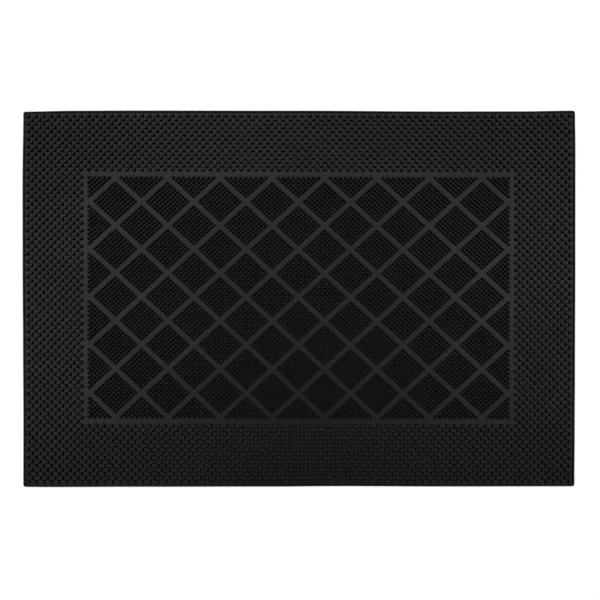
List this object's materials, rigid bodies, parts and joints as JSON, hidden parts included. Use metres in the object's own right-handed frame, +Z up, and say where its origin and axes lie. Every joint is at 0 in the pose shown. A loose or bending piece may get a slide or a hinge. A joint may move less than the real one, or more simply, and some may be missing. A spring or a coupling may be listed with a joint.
{
  "type": "rubber doormat",
  "caption": "Rectangular moulded rubber doormat with a nubbed border, a thin rim and a panel of pin-filled diamonds parted by flat bands.",
  "frame": {"origin": "on the underside, under the middle of the mat", "axes": "+X along the mat's length, +Y along its width towards the back edge, +Z up through its thickness"},
  "size_m": [0.5956, 0.4057, 0.0062],
  "materials": {
    "rubber": "matt black moulded rubber with a fine grain and a low sheen"
  },
  "bodies": {
    "root": {"mat": "rubber"}
  },
  "joints": []
}
